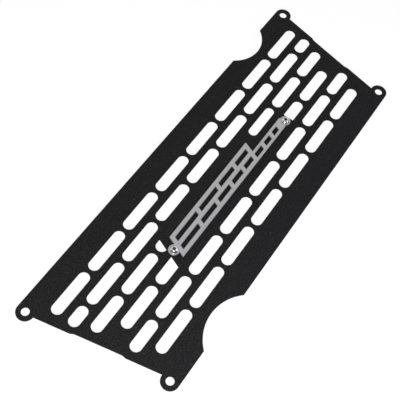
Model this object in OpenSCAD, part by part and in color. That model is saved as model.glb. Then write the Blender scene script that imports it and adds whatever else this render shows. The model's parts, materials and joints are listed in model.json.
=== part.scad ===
// Guard for a motorcycle radiator: one laser-cut steel sheet, coated black,
// with a stainless badge held by two button-head screws and their nuts.
// Millimetres. X runs along the guard, Y up its face and Z out of its front.
// The origin lies on the back face, midway between the two upper fixing holes.

/* [Sheet] */
// Thickness of the steel sheet
sheet_t = 1.0; // [0.8:0.1:2]

/* [Fixing holes] */
// Distance between the two upper fixing holes
upper_spacing = 303; // [290:1:320]
// Distance between the two lower fixing holes
lower_spacing = 269; // [256:1:280]
// Height of the upper holes above the middle of the slot field
upper_rise = 46.6; // [45:0.1:50]
// Drop of the lower holes below the middle of the slot field
lower_drop = 48.2; // [46:0.1:52]
// Diameter of the fixing holes
fixing_d = 5.4; // [4:0.1:7]
// Radius of the ear round each fixing hole
ear_r = 6; // [5:0.1:8]

/* [Ends] */
// How far each end edge passes outside the upper hole's centre
upper_out = 1.3; // [0:0.1:3]
// How far each end edge passes inside the lower hole's centre
lower_in = 1.7; // [0:0.1:3]
// Depth of the shallow relief in each end edge
relief_depth = 0.85; // [0.3:0.05:3]
// Height of the relief's floor
relief_h = 30.6; // [15:0.1:50]
// Drop of the relief's middle below the middle of the slot field
relief_drop = 0.9; // [-10:0.1:10]
// Height of the ramp at each end of the relief
relief_ramp = 2.8; // [0.5:0.1:6]

/* [Edge notches] */
// Place of the upper notch, right of the middle
upper_notch_x = 108; // [80:1:115]
// Radius of the upper notch
upper_notch_r = 23.4; // [15:0.1:30]
// Depth of the upper notch
upper_notch_depth = 9.4; // [4:0.1:10]
// Place of the lower notch, left of the middle
lower_notch_x = 85; // [60:1:95]
// Radius of the lower notch
lower_notch_r = 31; // [20:0.1:35]
// Depth of the lower notch
lower_notch_depth = 9.8; // [4:0.1:11]

/* [Slots] */
// Length of a full slot
slot_l = 33; // [20:0.1:40]
// Width of a slot
slot_w = 7.8; // [5:0.1:9.5]
// Metal between neighbouring slots along a row
slot_gap = 3; // [2:0.1:6]
// Metal between neighbouring rows
row_gap = 5.2; // [3:0.1:6]
// Number of rows
rows = 6; // [4:2:6]
// Metal left between the last slot of a row and the end edge
end_margin = 7.2; // [4:0.1:12]
// The same in the second row above the middle
second_above_margin = 4.6; // [3:0.1:12]
// The same in the second row below the middle
second_below_margin = 5.8; // [3:0.1:12]

/* [Pad] */
// Slant of the pad's left end and of the badge, from the upright, in degrees
slant = 22; // [0:1:30]
// Metal between the left screw's centre and the pad's left end
pad_left_edge = 3.9; // [3:0.1:8]
// Metal between the right screw's centre and the pad's right end
pad_right_edge = 4.8; // [2.5:0.1:5]
// Length of the narrow slot above the badge's tail
tail_slot_l = 28.6; // [15:0.1:30]
// Width of the narrow slot above the badge's tail
tail_slot_w = 6.7; // [3:0.1:8]

/* [Badge] */
// Thickness of the badge's sheet
badge_t = 1.5; // [0.8:0.1:2]
// Drop of the badge's lower edge below the middle of the slot field
badge_drop = 9; // [8.5:0.1:10]
// Height of the badge's body
body_h = 15.1; // [12:0.1:19]
// Length of the badge's body
body_l = 92; // [60:1:96]
// Height of the badge's tail
tail_h = 7.3; // [6:0.1:9]
// Number of windows in the body's lower run
lower_windows = 5; // [3:1:6]
// Number of windows in the body's upper run
upper_windows = 4; // [3:1:6]
// Number of windows in the tail
tail_windows = 3; // [2:1:4]
// Height of the windows in the body
body_window_h = 3.2; // [1.5:0.1:4]
// Height of the windows in the tail
tail_window_h = 3.2; // [1.5:0.1:3.6]
// Width of the ribs between windows
rib = 3.4; // [2:0.1:5]
// Each window's length as a share of the one to its left
window_ratio = 0.84; // [0.6:0.02:0.98]
// Radius of the eyelet under each screw head
eyelet_r = 3.8; // [3.4:0.05:4.5]
// How far the badge starts from a screw's centre
eyelet_reach = 2.5; // [1:0.1:3]

/* [Screws] */
// Left screw, left of the middle
left_screw_x = 64.4; // [58:0.1:70]
// Left screw, below the middle of the slot field
left_screw_drop = 1.4; // [-2:0.05:4]
// Right screw, right of the middle
right_screw_x = 66.5; // [62:0.1:71]
// Right screw, below the middle of the slot field
right_screw_drop = 6.4; // [5:0.1:7]
// Nominal diameter of the thread
thread_d = 3; // [2:0.5:3]
// Length of the screw under its head
screw_l = 6; // [5.5:0.5:12]
// Diameter of the screw's head
head_d = 5.7; // [5:0.1:7]
// Height of the head
head_h = 1.65; // [1.2:0.05:2.2]
// Diameter of the flat on top of the head
head_flat_d = 3.2; // [2.8:0.1:4]
// Height of the upright rim round the head
head_rim_h = 0.3; // [0.1:0.05:0.5]
// Width of the hexagon socket across its flats
socket_af = 2; // [1.5:0.1:2.3]
// Depth of the hexagon socket
socket_depth = 1.05; // [0.6:0.05:1.2]
// Width of the chamfer at the screw's tip
tip_chamfer = 0.4; // [0.2:0.05:0.6]
// Clearance between a screw and the holes it passes through, on the radius
hole_gap = 0.2; // [0.1:0.05:0.4]

/* [Nuts] */
// Width of a nut across its flats
nut_af = 5.5; // [5:0.1:6]
// Thickness of a nut
nut_t = 2.4; // [1.6:0.1:3]
// Clearance between a nut's thread and the screw's, on the radius
thread_gap = 0.02; // [0.01:0.01:0.05]

/* [Hidden] */
$fn = 96;

// Cuts pass this far beyond the faces they break through
over = 1;

// Fixing holes, from the middle of the slot field
fixings = [for (side = [-1, 1], row = [[upper_spacing, upper_rise], [lower_spacing, -lower_drop]])
           [side * row[0] / 2, row[1]]];

// Edges of the sheet
top_y = upper_rise + ear_r;
bottom_y = -lower_drop - ear_r;
end_slope = (upper_spacing / 2 + upper_out - lower_spacing / 2 + lower_in) / (upper_rise + lower_drop);
function end_x(y) = upper_spacing / 2 + upper_out - (upper_rise - y) * end_slope;

// Slots stand in a staggered grid. Rows are numbered upwards from the middle: row 0 is the
// first above it and row -1 the first below
slot_pitch = slot_l + slot_gap;
row_pitch = slot_w + row_gap;
shortest_slot = 1.5 * slot_w;
most_slots = ceil(upper_spacing / slot_pitch / 2);
function row_y(j) = (j + 0.5) * row_pitch;
function row_margin(j) = j == 1 ? second_above_margin : j == -2 ? second_below_margin : end_margin;
function row_limit(j) = end_x(row_y(j)) - row_margin(j);

// The slot above the badge's tail takes the outer end and the upper edge of the one it replaces
replaced_x = 1.5 * slot_pitch;
tail_slot_end = replaced_x + slot_l / 2;
tail_slot_y = row_pitch / 2 + slot_w / 2 - tail_slot_w / 2;

// Screws, from the middle of the slot field
left_screw = [-left_screw_x, -left_screw_drop];
right_screw = [right_screw_x, -right_screw_drop];
hole_r = thread_d / 2 + hole_gap;

// The head's dome is a sphere through its rim and the edge of its flat
dome_drop = (pow(head_d / 2, 2) + pow(head_rim_h, 2) - pow(head_flat_d / 2, 2) - pow(head_h, 2))
            / (2 * (head_h - head_rim_h));
dome_r = sqrt(pow(head_d / 2, 2) + pow(head_rim_h + dome_drop, 2));
hex_ratio = 1 / cos(30);

// Slanted places: x at a height, for a line that crosses the middle height at u
lean = tan(slant);
function slanted(u, y) = [u + lean * y, y];
function crossing(p) = p[0] - lean * p[1];
body_start = crossing(left_screw + [eyelet_reach, 0]);
body_end = body_start + body_l;
tail_end = crossing(right_screw - [eyelet_reach, 0]);
badge_y = -badge_drop;

// Draws its children in the frame whose origin lies between the upper fixing holes
module placed() {
    translate([0, -upper_rise, 0]) children();
}

// A slot with round ends, from x0 to x1, with its middle line at height y
module obround(x0, x1, y, w) {
    translate([x0 + w / 2, y - w / 2]) square([x1 - x0 - w, w]);
    for (x = [x0 + w / 2, x1 - w / 2]) translate([x, y]) circle(d = w);
}

// A four-sided shape with slanted ends, from u0 to u1 and from y0 to y1
module slanted_bar(u0, u1, y0, y1) {
    polygon([slanted(u0, y0), slanted(u1, y0), slanted(u1, y1), slanted(u0, y1)]);
}

// The sheet's outline without its ears: long edges that end level with the holes, and
// slanted ends with a shallow relief in each; the ears cover the cut-off corners
module outline() {
    low = -relief_drop - relief_h / 2;
    high = -relief_drop + relief_h / 2;
    right = [[upper_spacing / 2, top_y], [end_x(upper_rise), upper_rise],
             [end_x(high + relief_ramp), high + relief_ramp], [end_x(high) - relief_depth, high],
             [end_x(low) - relief_depth, low], [end_x(low - relief_ramp), low - relief_ramp],
             [end_x(-lower_drop), -lower_drop], [lower_spacing / 2, bottom_y]];
    left = [for (i = [len(right) - 1 : -1 : 0]) [-right[i][0], right[i][1]]];
    polygon(concat(right, left));
}

// A disc at each fixing hole
module at_fixings(r) {
    for (p = fixings) translate(p) circle(r);
}

module edge_notches() {
    translate([upper_notch_x, top_y - upper_notch_depth + upper_notch_r]) circle(upper_notch_r);
    translate([-lower_notch_x, bottom_y + lower_notch_depth - lower_notch_r]) circle(lower_notch_r);
}

// One row of slots, mirrored about the middle; the last one ends at the row's margin
module slot_row(j) {
    shift = j % 2 == 0 ? 0.5 : 0;
    for (k = [0 : most_slots]) {
        x = (k + shift) * slot_pitch;
        outer = min(x + slot_l / 2, row_limit(j));
        if (outer - (x - slot_l / 2) >= shortest_slot) {
            obround(x - slot_l / 2, outer, row_y(j), slot_w);
            if (x > 0) obround(-outer, slot_l / 2 - x, row_y(j), slot_w);
        }
    }
}

// The closed pad in the two middle rows
module pad() {
    left = crossing(left_screw - [pad_left_edge, 0]);
    right = right_screw[0] + pad_right_edge;
    upper_right = replaced_x + slot_pitch / 2;
    polygon([slanted(left, -row_pitch), [right, -row_pitch], [right, 0],
             [upper_right, 0], [upper_right, row_pitch], slanted(left, row_pitch)]);
}

module slots() {
    difference() {
        for (j = [-rows / 2 : rows / 2 - 1]) slot_row(j);
        pad();
    }
    obround(tail_slot_end - tail_slot_l, tail_slot_end, tail_slot_y, tail_slot_w);
}

module guard_plate() {
    color([0.14, 0.14, 0.145]) placed() difference() {
        union() {
            linear_extrude(sheet_t) outline();
            linear_extrude(sheet_t) at_fixings(ear_r);
        }
        translate([0, 0, -over]) linear_extrude(sheet_t + 2 * over) {
            edge_notches();
            slots();
            at_fixings(fixing_d / 2);
            at_screws(hole_r);
        }
    }
}

// A disc at each screw
module at_screws(r) {
    for (p = [left_screw, right_screw]) translate(p) circle(r);
}

// A run of windows that grow shorter to the right, with a rib before and after each
module windows(u0, u1, n, y, h) {
    open = u1 - u0 - (n + 1) * rib;
    function share(i) = pow(window_ratio, i) * (1 - window_ratio) / (1 - pow(window_ratio, n));
    function before(i) = (1 - pow(window_ratio, i)) / (1 - pow(window_ratio, n));
    for (i = [0 : n - 1]) {
        start = u0 + rib + open * before(i) + i * rib;
        slanted_bar(start, start + open * share(i), y - h / 2, y + h / 2);
    }
}

module badge() {
    body_rail = (body_h - 2 * body_window_h) / 3;
    lower_y = badge_y + body_rail + body_window_h / 2;
    upper_y = lower_y + body_rail + body_window_h;
    color([0.68, 0.68, 0.66]) placed() translate([0, 0, sheet_t]) linear_extrude(badge_t) difference() {
        union() {
            slanted_bar(body_start, body_end, badge_y, badge_y + body_h);
            slanted_bar(body_end - rib, tail_end, badge_y, badge_y + tail_h);
            at_screws(eyelet_r);
        }
        windows(body_start, body_end, lower_windows, lower_y, body_window_h);
        windows(body_start, body_end, upper_windows, upper_y, body_window_h);
        windows(body_end - rib, tail_end - rib, tail_windows, badge_y + tail_h / 2, tail_window_h);
        at_screws(hole_r);
    }
}

// A screw whose head sits on z = 0, with its tip pointing down
module screw() {
    difference() {
        union() {
            intersection() {
                cylinder(d = head_d, h = head_h);
                translate([0, 0, -dome_drop]) sphere(dome_r);
            }
            translate([0, 0, tip_chamfer - screw_l])
                cylinder(d = thread_d, h = screw_l - tip_chamfer + head_rim_h);
            translate([0, 0, -screw_l])
                cylinder(d1 = thread_d - 2 * tip_chamfer, d2 = thread_d, h = tip_chamfer);
        }
        translate([0, 0, head_h - socket_depth])
            cylinder(d = socket_af * hex_ratio, h = socket_depth + over, $fn = 6);
    }
}

// A nut whose top face lies on z = 0, with two flats square to X
module nut() {
    across = nut_af * hex_ratio;
    chamfer_h = (across - nut_af) / 2 * tan(30);
    translate([0, 0, -nut_t]) difference() {
        intersection() {
            rotate(30) cylinder(d = across, h = nut_t, $fn = 6);
            rotate_extrude() polygon([[0, 0], [nut_af / 2, 0], [across / 2, chamfer_h],
                                      [across / 2, nut_t - chamfer_h], [nut_af / 2, nut_t], [0, nut_t]]);
        }
        translate([0, 0, -over]) cylinder(r = thread_d / 2 + thread_gap, h = nut_t + 2 * over);
    }
}

module screw_at(p) {
    color([0.8, 0.8, 0.78]) placed() translate([p[0], p[1], sheet_t + badge_t]) screw();
}

module nut_at(p) {
    color([0.72, 0.72, 0.7]) placed() translate([p[0], p[1], 0]) nut();
}

module badge_screw_left() { screw_at(left_screw); }
module badge_screw_right() { screw_at(right_screw); }
module badge_nut_left() { nut_at(left_screw); }
module badge_nut_right() { nut_at(right_screw); }

guard_plate();
badge();
badge_screw_left();
badge_screw_right();
badge_nut_left();
badge_nut_right();
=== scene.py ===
"""Looks of a motorcycle radiator guard: a slotted steel sheet with a black powder coat,
which carries a brushed stainless badge on two button-head screws with nuts behind.
It lies face up on a white studio floor. Metres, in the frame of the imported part."""

import json
import math

import bmesh
import bpy
from mathutils import Matrix, Vector
from mathutils.geometry import delaunay_2d_cdt

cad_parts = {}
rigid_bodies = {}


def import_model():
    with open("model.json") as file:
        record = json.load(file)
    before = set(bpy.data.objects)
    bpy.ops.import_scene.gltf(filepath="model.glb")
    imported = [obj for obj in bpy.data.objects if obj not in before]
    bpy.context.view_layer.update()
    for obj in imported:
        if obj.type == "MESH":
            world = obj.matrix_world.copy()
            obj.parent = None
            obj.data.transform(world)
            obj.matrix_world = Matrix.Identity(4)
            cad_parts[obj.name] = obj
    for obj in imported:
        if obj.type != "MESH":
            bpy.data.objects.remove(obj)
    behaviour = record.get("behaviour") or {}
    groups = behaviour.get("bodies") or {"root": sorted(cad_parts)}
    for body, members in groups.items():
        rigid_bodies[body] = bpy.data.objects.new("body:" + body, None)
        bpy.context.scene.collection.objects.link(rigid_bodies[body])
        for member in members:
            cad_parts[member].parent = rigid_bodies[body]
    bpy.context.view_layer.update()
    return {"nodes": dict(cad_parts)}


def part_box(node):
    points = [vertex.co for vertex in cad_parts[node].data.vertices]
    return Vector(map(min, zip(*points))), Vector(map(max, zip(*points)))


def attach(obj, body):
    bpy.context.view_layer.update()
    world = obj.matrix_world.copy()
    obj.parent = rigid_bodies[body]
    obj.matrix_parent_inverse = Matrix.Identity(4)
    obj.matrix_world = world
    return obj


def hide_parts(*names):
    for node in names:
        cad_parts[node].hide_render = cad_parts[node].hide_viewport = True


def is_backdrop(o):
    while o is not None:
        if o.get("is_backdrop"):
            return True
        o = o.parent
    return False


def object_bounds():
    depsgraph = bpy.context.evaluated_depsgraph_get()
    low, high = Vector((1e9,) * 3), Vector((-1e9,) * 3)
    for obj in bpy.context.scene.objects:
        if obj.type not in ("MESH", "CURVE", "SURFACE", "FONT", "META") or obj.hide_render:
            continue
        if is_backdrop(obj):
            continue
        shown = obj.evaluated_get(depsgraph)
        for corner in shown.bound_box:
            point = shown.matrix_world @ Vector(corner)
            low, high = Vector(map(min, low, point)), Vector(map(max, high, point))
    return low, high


# Blender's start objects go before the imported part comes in
for left_over in list(bpy.data.objects):
    bpy.data.objects.remove(left_over)

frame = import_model()
nodes = frame["nodes"]
MM = 0.001

# Camera: place, axes and lens that give the photograph's view on a 36 mm sensor
CAMERA_PLACE = Vector((-0.25656127, -0.13614469, 0.45053333))
CAMERA_RIGHT = Vector((0.55939993, -0.82081704, 0.1154604))
CAMERA_DOWN = Vector((-0.69471938, -0.54025783, -0.47485415))
CAMERA_FORWARD = Vector((0.45214676, 0.1854208, -0.8724577))
SENSOR_MM = 36.0
LENS_MM = 69.7434
CLIP_START = 0.01
CLIP_END = 20.0

# Studio: lamps are (name, place, size, power in watts, colour), and both point at LIT_POINT
LIT_POINT = Vector((0.0, -0.05, 0.0))
LAMPS = (
    ("key", Vector((-0.3, -0.16, 0.3)), (0.06, 0.06), 1.75, (1.0, 0.955, 0.945)),
    ("window", Vector((0.12, -0.28, 0.1)), (0.15, 0.08), 0.12, (0.84, 0.88, 1.25)),
)
WORLD_STRENGTH = 0.94
FLOOR_HALF = 3.0
PAPER = 0.88
GROUND_SHARE = 0.88
GROUND_STRENGTH = 1.043

# Rounded edges of the two flat pieces: radius in millimetres, and steps round the quarter
SHEET_EDGE_MM, SHEET_EDGE_STEPS = 0.15, 3
BADGE_EDGE_MM, BADGE_EDGE_STEPS = 0.16, 4
CRISP_CORNER_DEG = 30

# How a flat node's outlines are read, in metres, and how their inside is triangulated
SAME_LEVEL = 1e-6
PLACE_DIGITS = 7
CDT_INSIDE = 1
CDT_EPSILON = 1e-7

# Button-head screw, in millimetres from the face that its head sits on
THREAD_R = 1.5
PITCH = 0.5
THREAD_DEPTH = 0.27
THREAD_STEPS = 12
SCREW_L = 6.0
TIP = 0.4
PLAIN_SHANK = 1.2
HEAD_R = 2.85
HEAD_H = 1.65
HEAD_FLAT_R = 1.6
HEAD_FLAT_EDGE = 0.04
HEAD_RIM_H = 0.3
HEAD_FOOT = 0.1
DOME_STEPS = 14
SOCKET_AF = 2.0
SOCKET_DEPTH = 1.05
SOCKET_MOUTH = 0.07
SOCKET_FLARE = 1.4 * SOCKET_MOUTH
SOCKET_FLOOR_IN = 0.12
SOCKET_FLOOR_RISE = 0.05
SOCKET_CONE = 0.25

# Hexagon nut, in millimetres down from the face that meets the sheet
NUT_AF = 5.5
NUT_T = 2.4
NUT_BORE_R = 1.52
NUT_SINK = 0.3
NUT_FACE_IN = 0.05
NUT_CONE = math.tan(math.radians(30))
NUT_CONE_STEPS = 5

# Points round a screw or nut, and the angle over which an edge stays crisp
AROUND = 96
SHARP_DEG = 30
SCREW_SHARP_DEG = 35

# Sockets of a colour Mix node, and where nearly all values of a noise lie
MIX_SHARE, MIX_FIRST, MIX_SECOND, MIX_RESULT = 0, 6, 7, 2
NOISE = (0.3, 0.7)


def make_camera():
    data = bpy.data.cameras.new("camera")
    data.sensor_width = SENSOR_MM
    data.lens = LENS_MM
    data.clip_start = CLIP_START
    data.clip_end = CLIP_END
    camera = bpy.data.objects.new("camera", data)
    bpy.context.scene.collection.objects.link(camera)
    columns = (CAMERA_RIGHT, -CAMERA_DOWN, -CAMERA_FORWARD)
    turn = Matrix([[c[i] for c in columns] for i in range(3)])
    camera.matrix_world = Matrix.Translation(CAMERA_PLACE) @ turn.to_4x4()
    bpy.context.scene.camera = camera


# Materials


def grey(level):
    return (level, level, level)


class NodeTree:
    """The node tree of a material or world, with short calls for the nodes used here."""

    def __init__(self, owner):
        owner.use_nodes = True
        self.tree = owner.node_tree
        self.tree.nodes.clear()

    def node(self, kind, inputs=None, **settings):
        """A new node. An input that is a socket is linked, and any other is set."""
        made = self.tree.nodes.new(kind)
        for key, value in settings.items():
            setattr(made, key, value)
        for key, value in (inputs or {}).items():
            if isinstance(value, bpy.types.NodeSocket):
                self.tree.links.new(value, made.inputs[key])
            else:
                made.inputs[key].default_value = value
        return made

    def span(self, value, source, target=(0.0, 1.0)):
        """The value carried from the source range to the target range, and held inside it."""
        return self.node("ShaderNodeMapRange", {
            "Value": value, "From Min": source[0], "From Max": source[1],
            "To Min": target[0], "To Max": target[1]}).outputs["Result"]

    def blend(self, share, first, second, how="MIX"):
        """Two colours, each a socket or three numbers, mixed or put together in another way."""
        first, second = (
            c if isinstance(c, bpy.types.NodeSocket) else (*c, 1.0) for c in (first, second))
        return self.node(
            "ShaderNodeMix", {MIX_SHARE: share, MIX_FIRST: first, MIX_SECOND: second},
            data_type="RGBA", blend_type=how).outputs[MIX_RESULT]

    def maths(self, operation, first, second):
        return self.node("ShaderNodeMath", {0: first, 1: second}, operation=operation).outputs[0]


class Shader(NodeTree):
    """A material's node tree."""

    def __init__(self, name):
        self.material = bpy.data.materials.new(name)
        super().__init__(self.material)
        self.place = None

    def where(self, scale=(1.0, 1.0, 1.0)):
        """The point in the object's frame, in millimetres, times scale along each axis."""
        if self.place is None:
            self.place = self.node("ShaderNodeTexCoord").outputs["Object"]
        return self.node("ShaderNodeMapping", {
            "Vector": self.place, "Scale": [s / MM for s in scale]}).outputs["Vector"]

    def noise(self, size_mm, detail=2.0, rough=0.5, stretch=(1.0, 1.0, 1.0)):
        """Noise whose features are about size_mm across, times stretch along each axis."""
        scale = tuple(1.0 / (size_mm * s) for s in stretch)
        return self.node("ShaderNodeTexNoise", {
            "Vector": self.where(scale), "Scale": 1.0, "Detail": detail,
            "Roughness": rough}).outputs["Fac"]

    def bump(self, height, strength, depth_mm, under=None):
        inputs = {"Height": height, "Strength": strength, "Distance": depth_mm * MM}
        if under is not None:
            inputs["Normal"] = under
        return self.node("ShaderNodeBump", inputs).outputs["Normal"]

    def finish(self, **values):
        """Closes the tree with one Principled BSDF, whose sockets take the values by name."""
        inputs = {key.replace("_", " "): value for key, value in values.items()}
        surface = self.node("ShaderNodeBsdfPrincipled", inputs).outputs[0]
        self.node("ShaderNodeOutputMaterial", {"Surface": surface})
        return self.material


def coat_material():
    """Satin black powder coat: orange peel, a close grain, faint mottling and a few pale specks."""
    dark, light = (0.0040, 0.0041, 0.0045), (0.0055, 0.0056, 0.0061)
    grain_colour, speck_colour = (0.0156, 0.0156, 0.0166), (0.11, 0.11, 0.105)
    cells_per_mm, rare = 0.4, 0.93
    s = Shader("black_coat")
    peel = s.noise(1.8, detail=1.0)
    grain = s.noise(1.0, detail=3.0, rough=0.7)
    mottle = s.noise(16.0, detail=3.0)
    cells = s.node("ShaderNodeTexVoronoi", {
        "Vector": s.where((cells_per_mm,) * 3), "Scale": 1.0}).outputs
    near_middle = s.span(cells["Distance"], (0.08, 0.2), (1.0, 0.0))
    chance = s.node("ShaderNodeSeparateColor", {"Color": cells["Color"]}).outputs[0]
    speck = s.maths("MULTIPLY", near_middle, s.maths("GREATER_THAN", chance, rare))
    base = s.blend(s.span(mottle, NOISE), dark, light)
    base = s.blend(s.span(grain, (0.38, 0.62)), base, grain_colour)
    base = s.blend(s.maths("MULTIPLY", speck, 0.5), base, speck_colour)
    rough = s.span(grain, NOISE, (0.34, 0.42))
    normal = s.bump(grain, 1.0, 0.95, s.bump(peel, 0.5, 0.04))
    return s.finish(Base_Color=base, Roughness=rough, Specular_IOR_Level=0.1, Normal=normal)


def badge_material():
    """Brushed stainless sheet, with its grain along the badge; its cut edges are duller."""
    dark, light = (0.575, 0.578, 0.568), (0.685, 0.687, 0.672)
    scratch, worn, cut_edge = (0.75, 0.752, 0.74), grey(0.565), (0.36, 0.36, 0.355)
    cut_edge_rough = 0.65
    s = Shader("badge_steel")
    fine = s.noise(0.14, detail=3.0, rough=0.65, stretch=(60.0, 1.0, 1.0))
    broad = s.noise(0.8, detail=2.0, stretch=(30.0, 1.0, 1.0))
    cloud = s.noise(7.0, detail=3.0)
    dull = s.noise(1.1, detail=3.0, rough=0.6)
    base = s.blend(s.span(broad, NOISE), dark, light)
    base = s.blend(s.span(fine, (0.35, 0.75), (0.0, 0.5)), base, scratch)
    base = s.blend(s.span(dull, (0.35, 0.65), (0.0, 0.5)), base, worn)
    facing = s.node("ShaderNodeSeparateXYZ", {
        "Vector": s.node("ShaderNodeTexCoord").outputs["Normal"]}).outputs["Z"]
    side = s.span(facing, (0.7, 0.98), (1.0, 0.0))
    base = s.blend(side, base, cut_edge)
    rough = s.maths("ADD", s.span(fine, NOISE, (0.3, 0.4)), s.span(cloud, NOISE, (-0.03, 0.04)))
    rough = s.maths("MAXIMUM", rough, s.maths("MULTIPLY", side, cut_edge_rough))
    normal = s.bump(fine, 0.4, 0.012, s.bump(cloud, 0.15, 0.02))
    return s.finish(Base_Color=base, Metallic=1.0, Roughness=rough, Normal=normal)


def fastener_material():
    """Bright turned steel: rings round the axis, small handling marks, and a socket painted black as
    shade.
    The foot of a screw's head is darkened with painted shade, where the head stands close over the
    eyelet. Heights are those of the screw."""
    dark, light = (0.88, 0.88, 0.865), (0.97, 0.97, 0.955)
    # Painted shade colours: the first darkens the foot of the head, the second the inside of the
    # socket
    foot_shade, socket_shade = grey(0.06), (0.012, 0.013, 0.012)
    socket_shade_rough = 0.55
    rings_per_mm = 9.0
    socket_bottom, socket_top = 0.2, (HEAD_H - 0.09, HEAD_H - 0.03)
    socket_wall = (1.17, 1.24)
    foot_bottom, foot_top = -0.1, (0.1, 0.45)
    s = Shader("fastener_steel")
    flat = s.where((1.0, 1.0, 0.0))
    radius = s.node("ShaderNodeVectorMath", {0: flat}, operation="LENGTH").outputs["Value"]
    rings = s.node("ShaderNodeTexNoise", {
        "W": s.maths("MULTIPLY", radius, rings_per_mm), "Scale": 1.0, "Detail": 2.0},
        noise_dimensions="1D").outputs["Fac"]
    marks = s.noise(0.5, detail=3.0)
    height = s.node("ShaderNodeSeparateXYZ", {"Vector": s.where()}).outputs["Z"]
    in_head = s.maths("MULTIPLY", s.span(height, socket_top, (1.0, 0.0)),
                      s.maths("GREATER_THAN", height, socket_bottom))
    # Painted shade: the socket's inside is coloured near black, rough and not metallic, where little
    # light gets in
    socket = s.maths("MULTIPLY", in_head, s.span(radius, socket_wall, (1.0, 0.0)))
    # Painted shade at the foot of the head: strongest near the eyelet, gone 0.45 mm up
    foot = s.maths("MULTIPLY", s.span(height, foot_top, (0.6, 0.0)),
                   s.maths("GREATER_THAN", height, foot_bottom))
    base = s.blend(s.span(marks, (0.35, 0.7)), dark, light)
    base = s.blend(foot, base, foot_shade)
    base = s.blend(socket, base, socket_shade)
    metal = s.span(socket, (0.0, 1.0), (1.0, 0.0))
    rough = s.maths("ADD", s.span(rings, NOISE, (0.1, 0.16)), s.span(marks, (0.4, 0.7), (0.0, 0.06)))
    rough = s.maths("MAXIMUM", rough, s.maths("MULTIPLY", socket, socket_shade_rough))
    normal = s.bump(rings, 0.15, 0.01)
    return s.finish(Base_Color=base, Metallic=metal, Roughness=rough, Normal=normal)


def floor_material():
    """White paper floor: it keeps the shadow, and shows the camera a nearly white ground."""
    s = Shader("studio_floor")
    path = s.node("ShaderNodeLightPath").outputs
    seen = s.maths("MAXIMUM", s.maths("MAXIMUM", path["Is Camera Ray"], path["Is Glossy Ray"]),
                   path["Is Transmission Ray"])
    paper = s.node("ShaderNodeBsdfDiffuse", {"Color": (*grey(PAPER), 1.0)}).outputs[0]
    ground = s.node("ShaderNodeEmission", {
        "Color": (*grey(1.0), 1.0), "Strength": GROUND_STRENGTH}).outputs[0]
    share = s.maths("MULTIPLY", seen, GROUND_SHARE)
    mixed = s.node("ShaderNodeMixShader", {0: share, 1: paper, 2: ground}).outputs[0]
    s.node("ShaderNodeOutputMaterial", {"Surface": mixed})
    return s.material


# The two flat pieces


def front_loops(node):
    """The outlines of a flat node's front face, each a list of (x, y) with the metal on its left."""
    mesh = nodes[node].data
    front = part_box(node)[1].z
    at = [(round(v.co.x, PLACE_DIGITS), round(v.co.y, PLACE_DIGITS)) for v in mesh.vertices]
    level = [abs(v.co.z - front) < SAME_LEVEL for v in mesh.vertices]
    follows = {}
    for face in mesh.polygons:
        corners = list(face.vertices)
        if all(level[c] for c in corners):
            for a, b in zip(corners, corners[1:] + corners[:1]):
                if at[a] != at[b]:
                    follows.setdefault(at[a], set()).add(at[b])
    edges = {(a, b) for a, ends in follows.items() for b in ends}
    rim = {a: b for a, b in edges if (b, a) not in edges}
    loops = []
    while rim:
        first, point = rim.popitem()
        loop = [first]
        while point != first:
            loop.append(point)
            point = rim.pop(point)
        loops.append([Vector(q) for q in loop])
    return loops


def inward(loop):
    """At each point of a loop: the step that insets both its edges by 1, and the edges' outward
    normals."""
    count = len(loop)
    outward = []
    for i in range(count):
        along = (loop[(i + 1) % count] - loop[i]).normalized()
        outward.append(Vector((along.y, -along.x)))
    steps = []
    for i in range(count):
        before, after = outward[i - 1], outward[i]
        steps.append(-(before + after) / (1 + before.dot(after)))
    return steps, outward


def edge_profile(low_z, high_z, radius, segments):
    """A rounded edge from the back face to the front: rows of (inset, z, and the normal's
    outward and upward parts)."""
    quarter = [math.pi / 2 * k / segments for k in range(segments + 1)]
    rows = [(radius * (1 - math.sin(a)), low_z + radius * (1 - math.cos(a)), math.sin(a), -math.cos(a))
            for a in quarter]
    return rows + [(inset, high_z + low_z - z, side, -up) for inset, z, side, up in reversed(rows)]


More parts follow.
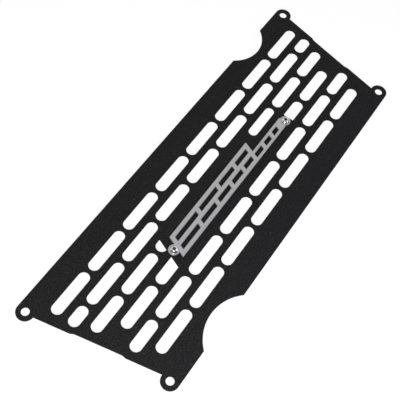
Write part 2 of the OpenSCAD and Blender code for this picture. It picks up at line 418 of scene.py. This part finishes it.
def flat_piece(name, node, round_mm, segments, material):
    """A flat node again with rounded edges: the same outlines, thickness and place."""
    low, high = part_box(node)
    profile = edge_profile(low.z, high.z, round_mm * MM, segments)
    points, faces, normals, rims = [], [], [], []
    for loop in front_loops(node):
        steps, outward = inward(loop)
        count = len(loop)
        first = len(points)
        rims.append((first, count))
        for inset, z, _, _ in profile:
            points += [(*(p + s * inset), z) for p, s in zip(loop, steps)]
        limit = math.cos(math.radians(CRISP_CORNER_DEG))
        crisp = [outward[i - 1].dot(outward[i]) < limit for i in range(count)]
        soft = [(outward[i - 1] + outward[i]).normalized() for i in range(count)]
        for row in range(len(profile) - 1):
            for i in range(count):
                j = (i + 1) % count
                at_i = outward[i] if crisp[i] else soft[i]
                at_j = outward[i] if crisp[j] else soft[j]
                corners = ((i, row, at_i), (j, row, at_j), (j, row + 1, at_j), (i, row + 1, at_i))
                faces.append([first + r * count + c for c, r, _ in corners])
                normals += [(*(out * profile[r][2]), profile[r][3]) for _, r, out in corners]
    # Both flat faces share one triangulation of the inset outlines
    back = [first + i for first, count in rims for i in range(count)]
    top = [first + (len(profile) - 1) * count + i for first, count in rims for i in range(count)]
    flat = [Vector(points[i][:2]) / MM for i in back]
    rings, start = [], 0
    for _, count in rims:
        rings.append(list(range(start, start + count)))
        start += count
    areas = [sum(flat[a].cross(flat[b]) for a, b in zip(r, r[1:] + r[:1])) for r in rings]
    whole = areas.index(max(areas))
    rings = [r if area > 0 else r[::-1] for r, area in zip(rings, areas)]
    found = delaunay_2d_cdt(flat, [], rings, CDT_INSIDE, CDT_EPSILON)
    made_points, made_faces, point_sources, face_sources = found[0], found[2], found[3], found[5]
    assert len(made_points) == len(flat), name
    for corners, inside in zip(made_faces, face_sources):
        if list(inside) == [whole]:
            triangle = [point_sources[c][0] for c in corners]
            faces.append([top[c] for c in triangle])
            faces.append([back[c] for c in reversed(triangle)])
            normals += [(0, 0, 1)] * 3 + [(0, 0, -1)] * 3
    mesh = bpy.data.meshes.new(name)
    mesh.from_pydata(points, [], faces)
    mesh.polygons.foreach_set("use_smooth", [True] * len(mesh.polygons))
    mesh.normals_split_custom_set(normals)
    piece = bpy.data.objects.new(name, mesh)
    bpy.context.scene.collection.objects.link(piece)
    paint(piece, material)
    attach(piece, "root")
    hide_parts(node)


def paint(piece, material):
    piece.data.materials.clear()
    piece.data.materials.append(material)


# Screws and nuts


def loft(bm, rings, closed_first=None, closed_last=None):
    """Joins rings of equal length with quads; closed_first and closed_last are end points."""
    rows = [[bm.verts.new(p) for p in ring] for ring in rings]
    count = len(rows[0])
    for a, b in zip(rows, rows[1:]):
        for i in range(count):
            j = (i + 1) % count
            bm.faces.new((a[i], a[j], b[j], b[i]))
    for row, tip in ((rows[0], closed_first), (rows[-1], closed_last)):
        if tip is None:
            continue
        point = bm.verts.new(tip)
        for i in range(count):
            bm.faces.new((row[i], row[(i + 1) % count], point))
    return rows


def to_object(bm, name, place, material, sharp_deg=SHARP_DEG):
    """A finished piece at place, with edges sharper than sharp_deg kept crisp."""
    bmesh.ops.recalc_face_normals(bm, faces=bm.faces)
    for face in bm.faces:
        face.smooth = True
    for edge in bm.edges:
        if len(edge.link_faces) == 2:
            edge.smooth = edge.calc_face_angle() < math.radians(sharp_deg)
    mesh = bpy.data.meshes.new(name)
    bm.to_mesh(mesh)
    bm.free()
    piece = bpy.data.objects.new(name, mesh)
    bpy.context.scene.collection.objects.link(piece)
    piece.location = place
    paint(piece, material)
    return piece


def round_point(radius, angle, z):
    return Vector((radius * math.cos(angle), radius * math.sin(angle), z)) * MM


def circle(radius, z):
    return [round_point(radius, 2 * math.pi * i / AROUND, z) for i in range(AROUND)]


def hexagon(across_flats, z, turn=0.0):
    """A hexagon of AROUND points, a point on each ray of the circle with the same number."""
    points = []
    for i in range(AROUND):
        angle = 2 * math.pi * i / AROUND
        side = (angle - turn) % (math.pi / 3) - math.pi / 6
        points.append(round_point(across_flats / 2 / math.cos(side), angle, z))
    return points


def dome_profile():
    """Points of the head's dome from the rim up to its flat, as (radius, height)."""
    drop = (HEAD_R**2 + HEAD_RIM_H**2 - HEAD_FLAT_R**2 - HEAD_H**2) / (2 * (HEAD_H - HEAD_RIM_H))
    radius = math.hypot(HEAD_R, HEAD_RIM_H + drop)
    low = math.asin((HEAD_RIM_H + drop) / radius)
    high = math.asin((HEAD_H + drop) / radius)
    angles = [low + (high - low) * i / DOME_STEPS for i in range(DOME_STEPS + 1)]
    return [(radius * math.cos(a), radius * math.sin(a) - drop) for a in angles]


def thread_rings():
    """The threaded shank: a ridge that climbs once a pitch, fades in below the plain shank
    and ends at the chamfered tip."""
    rings = []
    for k in range(1, int((SCREW_L - PLAIN_SHANK) / PITCH * THREAD_STEPS) + 1):
        z = -PLAIN_SHANK - k * PITCH / THREAD_STEPS
        fade = min(1.0, k / THREAD_STEPS)
        tip_room = min(1.0, (z + SCREW_L) / TIP)
        ring = []
        for i in range(AROUND):
            phase = (z / PITCH + i / AROUND) % 1.0
            groove = THREAD_DEPTH * (1 - abs(2 * phase - 1)) * fade
            radius = min(THREAD_R - groove, THREAD_R - TIP * (1 - tip_room))
            ring.append(round_point(radius, 2 * math.pi * i / AROUND, z))
        rings.append(ring)
    return rings


def make_screw(name, node, material):
    low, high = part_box(node)
    seat = Vector(((low.x + high.x) / 2, (low.y + high.y) / 2, high.z - HEAD_H * MM))
    floor_z = HEAD_H - SOCKET_DEPTH
    rings = [
        circle(SOCKET_AF / 2 - SOCKET_FLOOR_IN, floor_z),
        hexagon(SOCKET_AF, floor_z + SOCKET_FLOOR_RISE),
        hexagon(SOCKET_AF, HEAD_H - SOCKET_MOUTH),
        hexagon(SOCKET_AF + SOCKET_FLARE, HEAD_H),
        circle(HEAD_FLAT_R - HEAD_FLAT_EDGE, HEAD_H),
    ]
    rings += [circle(r, z) for r, z in reversed(dome_profile())]
    rings += [circle(HEAD_R, HEAD_FOOT), circle(HEAD_R - HEAD_FOOT, 0.0), circle(THREAD_R, 0.0),
              circle(THREAD_R, -PLAIN_SHANK)]
    rings += thread_rings()
    bm = bmesh.new()
    loft(bm, rings, Vector((0, 0, floor_z - SOCKET_CONE)) * MM, Vector((0, 0, -SCREW_L)) * MM)
    piece = to_object(bm, name, seat, material, SCREW_SHARP_DEG)
    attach(piece, "root")
    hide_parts(node)


def hexagon_under_cone(z):
    """The nut's hexagon at height z, cut where the chamfer's cone is narrower than it."""
    limit = NUT_AF / 2 + min(-z, z + NUT_T) / NUT_CONE
    points = hexagon(NUT_AF, z, math.pi / 6)
    return [p if p.xy.length <= limit * MM else
            Vector((*(p.xy.normalized() * limit * MM), p.z)) for p in points]


def make_nut(name, node, material):
    """A hexagon nut with rounded-off corners, and a plain bore countersunk at both ends."""
    low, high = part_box(node)
    top = Vector(((low.x + high.x) / 2, (low.y + high.y) / 2, high.z))
    cone_h = (NUT_AF / math.sqrt(3) - NUT_AF / 2) * NUT_CONE
    levels = [-cone_h * i / NUT_CONE_STEPS for i in range(NUT_CONE_STEPS + 1)]
    levels += [-NUT_T - z for z in reversed(levels)]
    rings = [circle(NUT_BORE_R + NUT_SINK, 0.0), circle(NUT_AF / 2 - NUT_FACE_IN, 0.0)]
    rings += [hexagon_under_cone(z) for z in levels]
    rings += [circle(NUT_AF / 2 - NUT_FACE_IN, -NUT_T), circle(NUT_BORE_R + NUT_SINK, -NUT_T),
              circle(NUT_BORE_R, NUT_SINK - NUT_T), circle(NUT_BORE_R, -NUT_SINK)]
    bm = bmesh.new()
    rows = loft(bm, rings)
    first, last = rows[0], rows[-1]
    for i in range(AROUND):
        j = (i + 1) % AROUND
        bm.faces.new((last[i], last[j], first[j], first[i]))
    piece = to_object(bm, name, top, material)
    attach(piece, "root")
    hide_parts(node)


# Studio


def make_floor(material):
    low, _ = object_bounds()
    bm = bmesh.new()
    corners = [(-1, -1), (1, -1), (1, 1), (-1, 1)]
    bm.faces.new([bm.verts.new((x * FLOOR_HALF, y * FLOOR_HALF, low.z)) for x, y in corners])
    floor = to_object(bm, "studio_floor", Vector((0, 0, 0)), material)
    floor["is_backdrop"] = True


def make_light(name, place, size, power, colour):
    data = bpy.data.lights.new(name, "AREA")
    data.shape = "RECTANGLE"
    data.size, data.size_y = size
    data.energy = power
    data.color = colour
    lamp = bpy.data.objects.new(name, data)
    bpy.context.scene.collection.objects.link(lamp)
    lamp.location = place
    lamp.rotation_mode = "QUATERNION"
    lamp.rotation_quaternion = (LIT_POINT - place).to_track_quat("-Z", "Y")


def ramp(tree, value, low, stops):
    """Colours along a direction's part from low to 1, given as (place, colour)."""
    share = tree.span(value, (low, 1.0))
    made = tree.node("ShaderNodeValToRGB", {0: share})
    elements = made.color_ramp.elements
    while len(elements) < len(stops):
        elements.new(0.5)
    for element, (place, colour) in zip(elements, stops):
        element.position = (place - low) / (1.0 - low)
        element.color = (*colour, 1.0)
    return made.outputs[0]


def make_world():
    """A soft room, brightest overhead, dim near the table and behind the camera, with two paler
    walls at the far right and the far back. The camera itself sees plain white."""
    world = bpy.data.worlds.new("studio")
    bpy.context.scene.world = world
    t = NodeTree(world)
    towards = t.node("ShaderNodeSeparateXYZ", {
        0: t.node("ShaderNodeTexCoord").outputs["Generated"]}).outputs
    across = ramp(t, towards["X"], -1.0, (
        (-1.0, grey(0.25)), (-0.1, grey(0.35)), (0.08, (0.76, 0.775, 0.84)),
        (0.24, (0.74, 0.755, 0.83)), (0.38, (0.575, 0.58, 0.665)), (0.47, (0.67, 0.655, 0.6)),
        (0.54, (0.57, 0.555, 0.505)), (0.6, (0.5, 0.495, 0.5)), (0.68, (0.72, 0.72, 0.74)),
        (0.78, grey(0.6)), (1.0, grey(0.6))))
    depth = ramp(t, towards["Y"], -1.0, (
        (-1.0, grey(0.4)), (-0.4, grey(0.6)), (-0.05, grey(1.0)), (0.45, grey(1.0)),
        (0.8, grey(0.6)), (1.0, grey(0.5))))
    upward = ramp(t, towards["Z"], 0.0, (
        (0.0, grey(0.15)), (0.35, grey(0.28)), (0.55, grey(0.95)), (1.0, grey(1.0))))
    room = t.blend(1.0, t.blend(1.0, across, depth, "MULTIPLY"), upward, "MULTIPLY")
    right_wall = ramp(t, towards["X"], 0.0, (
        (0.0, grey(0.0)), (0.66, grey(0.0)), (0.78, grey(0.6)), (1.0, grey(0.7))))
    back_wall = ramp(t, towards["Y"], 0.0, (
        (0.0, grey(0.0)), (0.55, grey(0.0)), (0.8, grey(0.6)), (1.0, grey(0.7))))
    walls = t.blend(1.0, right_wall, back_wall, "LIGHTEN")
    whole = t.blend(1.0, room, walls, "ADD")
    light = t.node("ShaderNodeBackground", {"Color": whole, "Strength": WORLD_STRENGTH})
    white = t.node("ShaderNodeBackground", {"Color": (*grey(1.0), 1.0)})
    seen = t.node("ShaderNodeLightPath").outputs["Is Camera Ray"]
    mixed = t.node("ShaderNodeMixShader", {
        0: seen, 1: light.outputs[0], 2: white.outputs[0]}).outputs[0]
    t.node("ShaderNodeOutputWorld", {"Surface": mixed})


# The scene

make_camera()
flat_piece("slotted_sheet", "guard_plate", SHEET_EDGE_MM, SHEET_EDGE_STEPS,
           coat_material())
flat_piece("badge_sheet", "badge", BADGE_EDGE_MM, BADGE_EDGE_STEPS,
           badge_material())
steel = fastener_material()
for side in ("left", "right"):
    make_screw(f"button_screw_{side}", f"badge_screw_{side}", steel)
    make_nut(f"hex_nut_{side}", f"badge_nut_{side}", steel)

make_floor(floor_material())
make_world()
for lamp in LAMPS:
    make_light(*lamp)

bpy.context.scene.view_settings.view_transform = "Standard"
